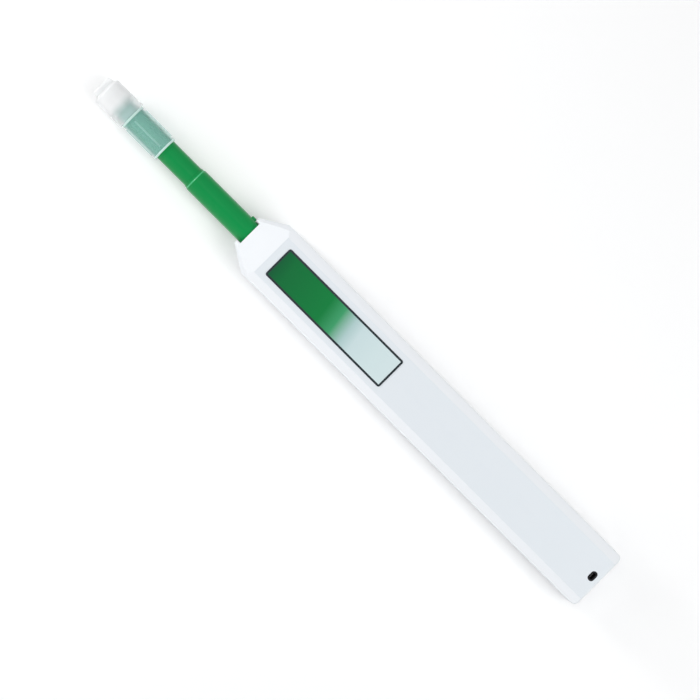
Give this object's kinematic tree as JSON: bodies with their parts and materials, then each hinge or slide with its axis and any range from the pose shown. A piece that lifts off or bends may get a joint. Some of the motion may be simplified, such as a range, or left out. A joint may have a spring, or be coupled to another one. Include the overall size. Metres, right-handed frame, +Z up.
{
  "type": "fibre connector cleaning pen",
  "caption": "Slim click pen that wipes a fibre connector's end face with a reeled cleaning thread; faceted casing, telescoping nozzle, guide cap and dust cap.",
  "frame": {"origin": "middle of the pen's length and width, on the flat back that it lies on", "axes": "+X along the pen towards its tip, +Z up out of the labelled face, +Y to the side away from the lock button"},
  "size_m": [0.2256, 0.0218, 0.0181],
  "materials": {
    "casing": "smooth moulded white plastic with a satin shine",
    "label_print": "printed film, green fading to pale mint",
    "black_plastic": "dull black",
    "spring_steel": "drawn wire",
    "grey_plastic": "plain moulded",
    "green_plastic": "smooth moulded green plastic",
    "white_plastic": "plain moulded",
    "shaft_steel": "turned",
    "soft_tip": "soft moulded",
    "thread": "fine woven cleaning thread",
    "teal_clear": "tinted clear plastic",
    "frosted_clear": "frosted clear plastic"
  },
  "bodies": {
    "case": {"left_shell": "casing", "right_shell": "casing", "label": "label_print", "strap_eyelet": "black_plastic", "return_spring": "spring_steel", "click_pawl": "grey_plastic"},
    "carriage": {"carriage": "grey_plastic", "outer_nozzle": "green_plastic", "lock_spring": "spring_steel", "cleaning_thread": "thread"},
    "take_up": {"take_up_reel": "white_plastic", "used_thread": "thread", "drive_gear": "grey_plastic"},
    "supply": {"supply_reel": "white_plastic", "fresh_thread": "thread"},
    "cam": {"cam_shaft": "white_plastic"},
    "button": {"lock_button": "green_plastic"},
    "nozzle": {"nozzle_tube": "green_plastic", "head_spring": "spring_steel"},
    "bush": {"head_bush": "grey_plastic"},
    "head": {"head_shaft": "shaft_steel", "cleaning_head": "soft_tip"},
    "cap": {"guide_cap": "teal_clear"},
    "dust": {"dust_cap": "frosted_clear"}
  },
  "joints": [
    {"name": "nozzle_push", "type": "slide", "parent": "case", "child": "carriage", "axis": [-1, 0, 0], "range_m": [0, 0.014], "stiffness_N_per_m": 300, "springref_m": -0.005, "deforming": ["return_spring", "cleaning_thread"]},
    {"name": "take_up_turn", "type": "hinge", "parent": "case", "child": "take_up", "pos_m": [-0.0498, 0, 0.0098], "axis": [0, 1, 0], "range_deg": [0, 149], "deforming": ["click_pawl"]},
    {"name": "supply_turn", "type": "hinge", "parent": "case", "child": "supply", "pos_m": [-0.0758, 0, 0.0098], "axis": [0, 1, 0], "range_deg": [0, 98]},
    {"name": "cam_turn", "type": "hinge", "parent": "carriage", "child": "cam", "pos_m": [0, 0, 0.009], "axis": [-1, 0, 0], "range_deg": [0, 181]},
    {"name": "nozzle_extend", "type": "slide", "parent": "carriage", "child": "nozzle", "axis": [1, 0, 0], "range_m": [0, 0.02]},
    {"name": "lock_press", "type": "slide", "parent": "carriage", "child": "button", "axis": [0, 1, 0], "range_m": [0, 0.0005], "stiffness_N_per_m": 600, "springref_m": -0.001, "deforming": ["lock_spring"]},
    {"name": "head_press", "type": "slide", "parent": "nozzle", "child": "bush", "axis": [-1, 0, 0], "range_m": [0, 0.0015], "stiffness_N_per_m": 400, "springref_m": -0.002, "deforming": ["head_spring"]},
    {"name": "head_turn", "type": "hinge", "parent": "bush", "child": "head", "pos_m": [0, 0, 0.009], "axis": [-1, 0, 0], "range_deg": [0, 181]},
    {"name": "cap_slide", "type": "slide", "parent": "nozzle", "child": "cap", "axis": [1, 0, 0], "range_m": [0, 0.03]},
    {"name": "dust_cap_slide", "type": "slide", "parent": "cap", "child": "dust", "axis": [1, 0, 0], "range_m": [0, 0.03]}
  ],
  "couplings": [
    {"joint": "take_up_turn", "follows": "nozzle_push", "rad_per_m": 185.19},
    {"joint": "supply_turn", "follows": "nozzle_push", "rad_per_m": 121.08},
    {"joint": "cam_turn", "follows": "nozzle_push", "rad_per_m": 224.4},
    {"joint": "head_turn", "follows": "nozzle_push", "rad_per_m": 224.4}
  ]
}
